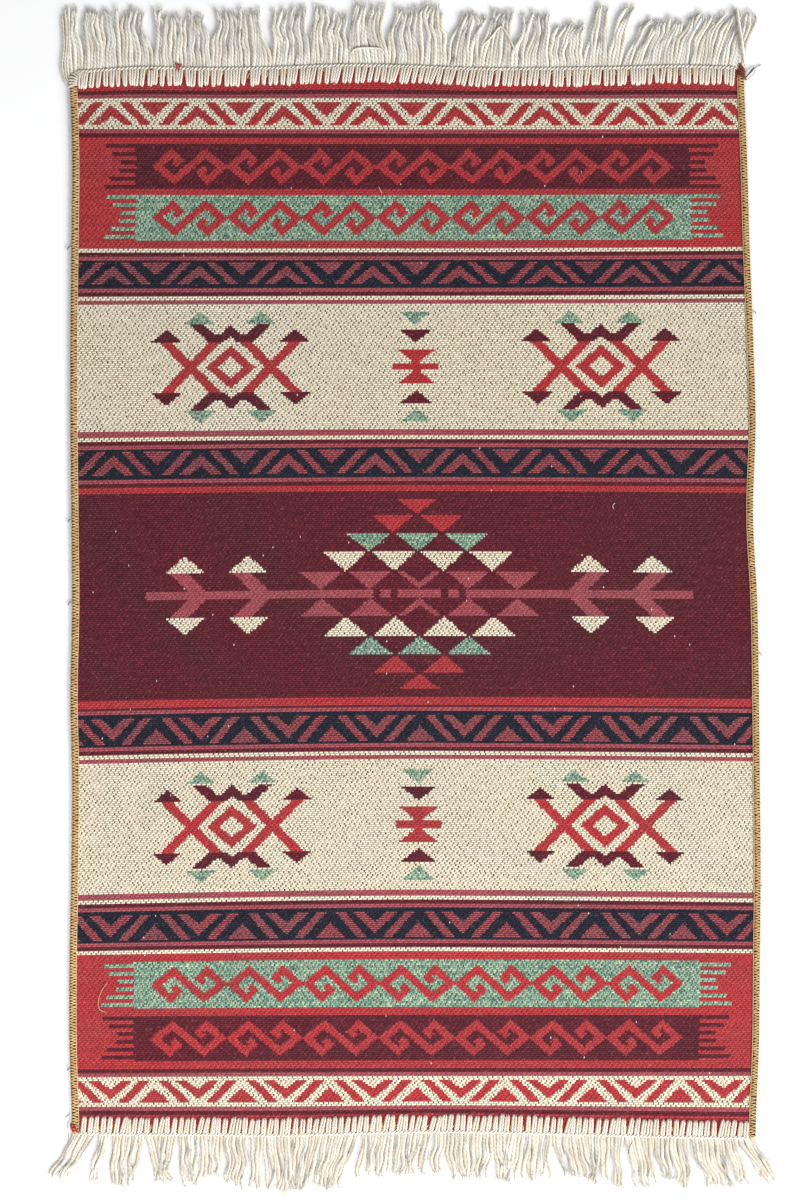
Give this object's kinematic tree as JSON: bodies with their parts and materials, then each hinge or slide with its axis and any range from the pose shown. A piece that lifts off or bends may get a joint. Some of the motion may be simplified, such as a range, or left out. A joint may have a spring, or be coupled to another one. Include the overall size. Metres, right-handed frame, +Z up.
{
  "type": "kilim rug",
  "caption": "Flat-woven kilim rug with striped and patterned bands, overlocked long sides, looped heading stitches and a cotton yarn fringe along its ends.",
  "frame": {"origin": "middle of the cloth's underside, on the floor", "axes": "+X across the width, +Y along the length towards the far fringe, +Z up out of the patterned face"},
  "size_m": [0.8339, 1.3948, 0.0036],
  "materials": {
    "cloth": "flat-woven cotton in red, maroon, rose, navy, green and cream bands",
    "overlock": "ochre thread wrapped closely over the long edges",
    "heading": "undyed cotton yarn, looped stitches",
    "fringe": "undyed twisted cotton yarn"
  },
  "bodies": {
    "root": {"cloth": "cloth", "overlock_left": "overlock", "overlock_right": "overlock", "heading_far": "heading", "heading_near": "heading", "fringe_far": "fringe", "fringe_near": "fringe"}
  },
  "joints": []
}
